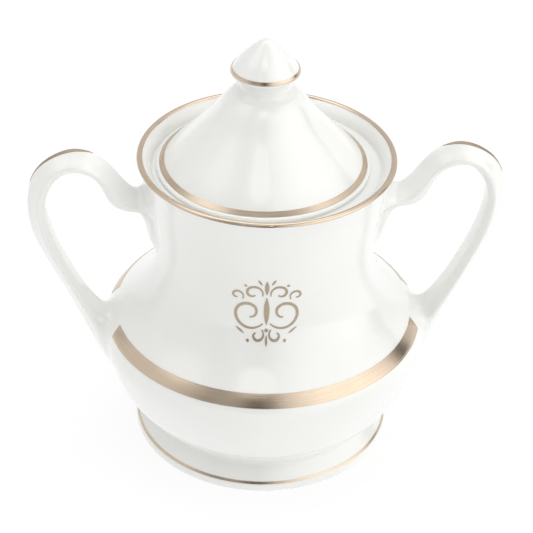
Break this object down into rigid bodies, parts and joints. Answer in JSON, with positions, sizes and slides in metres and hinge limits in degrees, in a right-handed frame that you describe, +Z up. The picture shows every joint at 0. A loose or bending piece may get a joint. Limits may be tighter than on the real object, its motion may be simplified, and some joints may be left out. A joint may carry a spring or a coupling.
{
  "type": "covered sugar bowl",
  "caption": "Covered sugar bowl in white glazed china with a flared foot, loop handles, a lift-off lid with a pointed knob, and gilded bands.",
  "frame": {"origin": "centre of the foot on the table plane", "axes": "+Z up, +X along the two handles towards the right handle, -Y towards the decorated front"},
  "size_m": [0.1372, 0.0954, 0.1292],
  "materials": {
    "glazed_china": "glossy clear glaze over a warm white china body",
    "fired_gold": "satin fired gilding, champagne gold, finely brushed along each band"
  },
  "bodies": {
    "bowl": {"bowl_body": "glazed_china", "foot_ring": "glazed_china", "handle_left": "glazed_china", "handle_right": "glazed_china", "rim_gilding": "fired_gold", "belly_gilding_front": "fired_gold", "belly_gilding_back": "fired_gold", "foot_gilding": "fired_gold", "handle_gilding_left": "fired_gold", "handle_gilding_right": "fired_gold", "front_ornament_gilding": "fired_gold"},
    "lid": {"lid": "glazed_china", "lid_knob": "glazed_china", "lid_gilding": "fired_gold", "knob_gilding": "fired_gold"}
  },
  "joints": [
    {"name": "lid_lift", "type": "slide", "parent": "bowl", "child": "lid", "axis": [0, 0, 1], "range_m": [0, 0.06]}
  ]
}
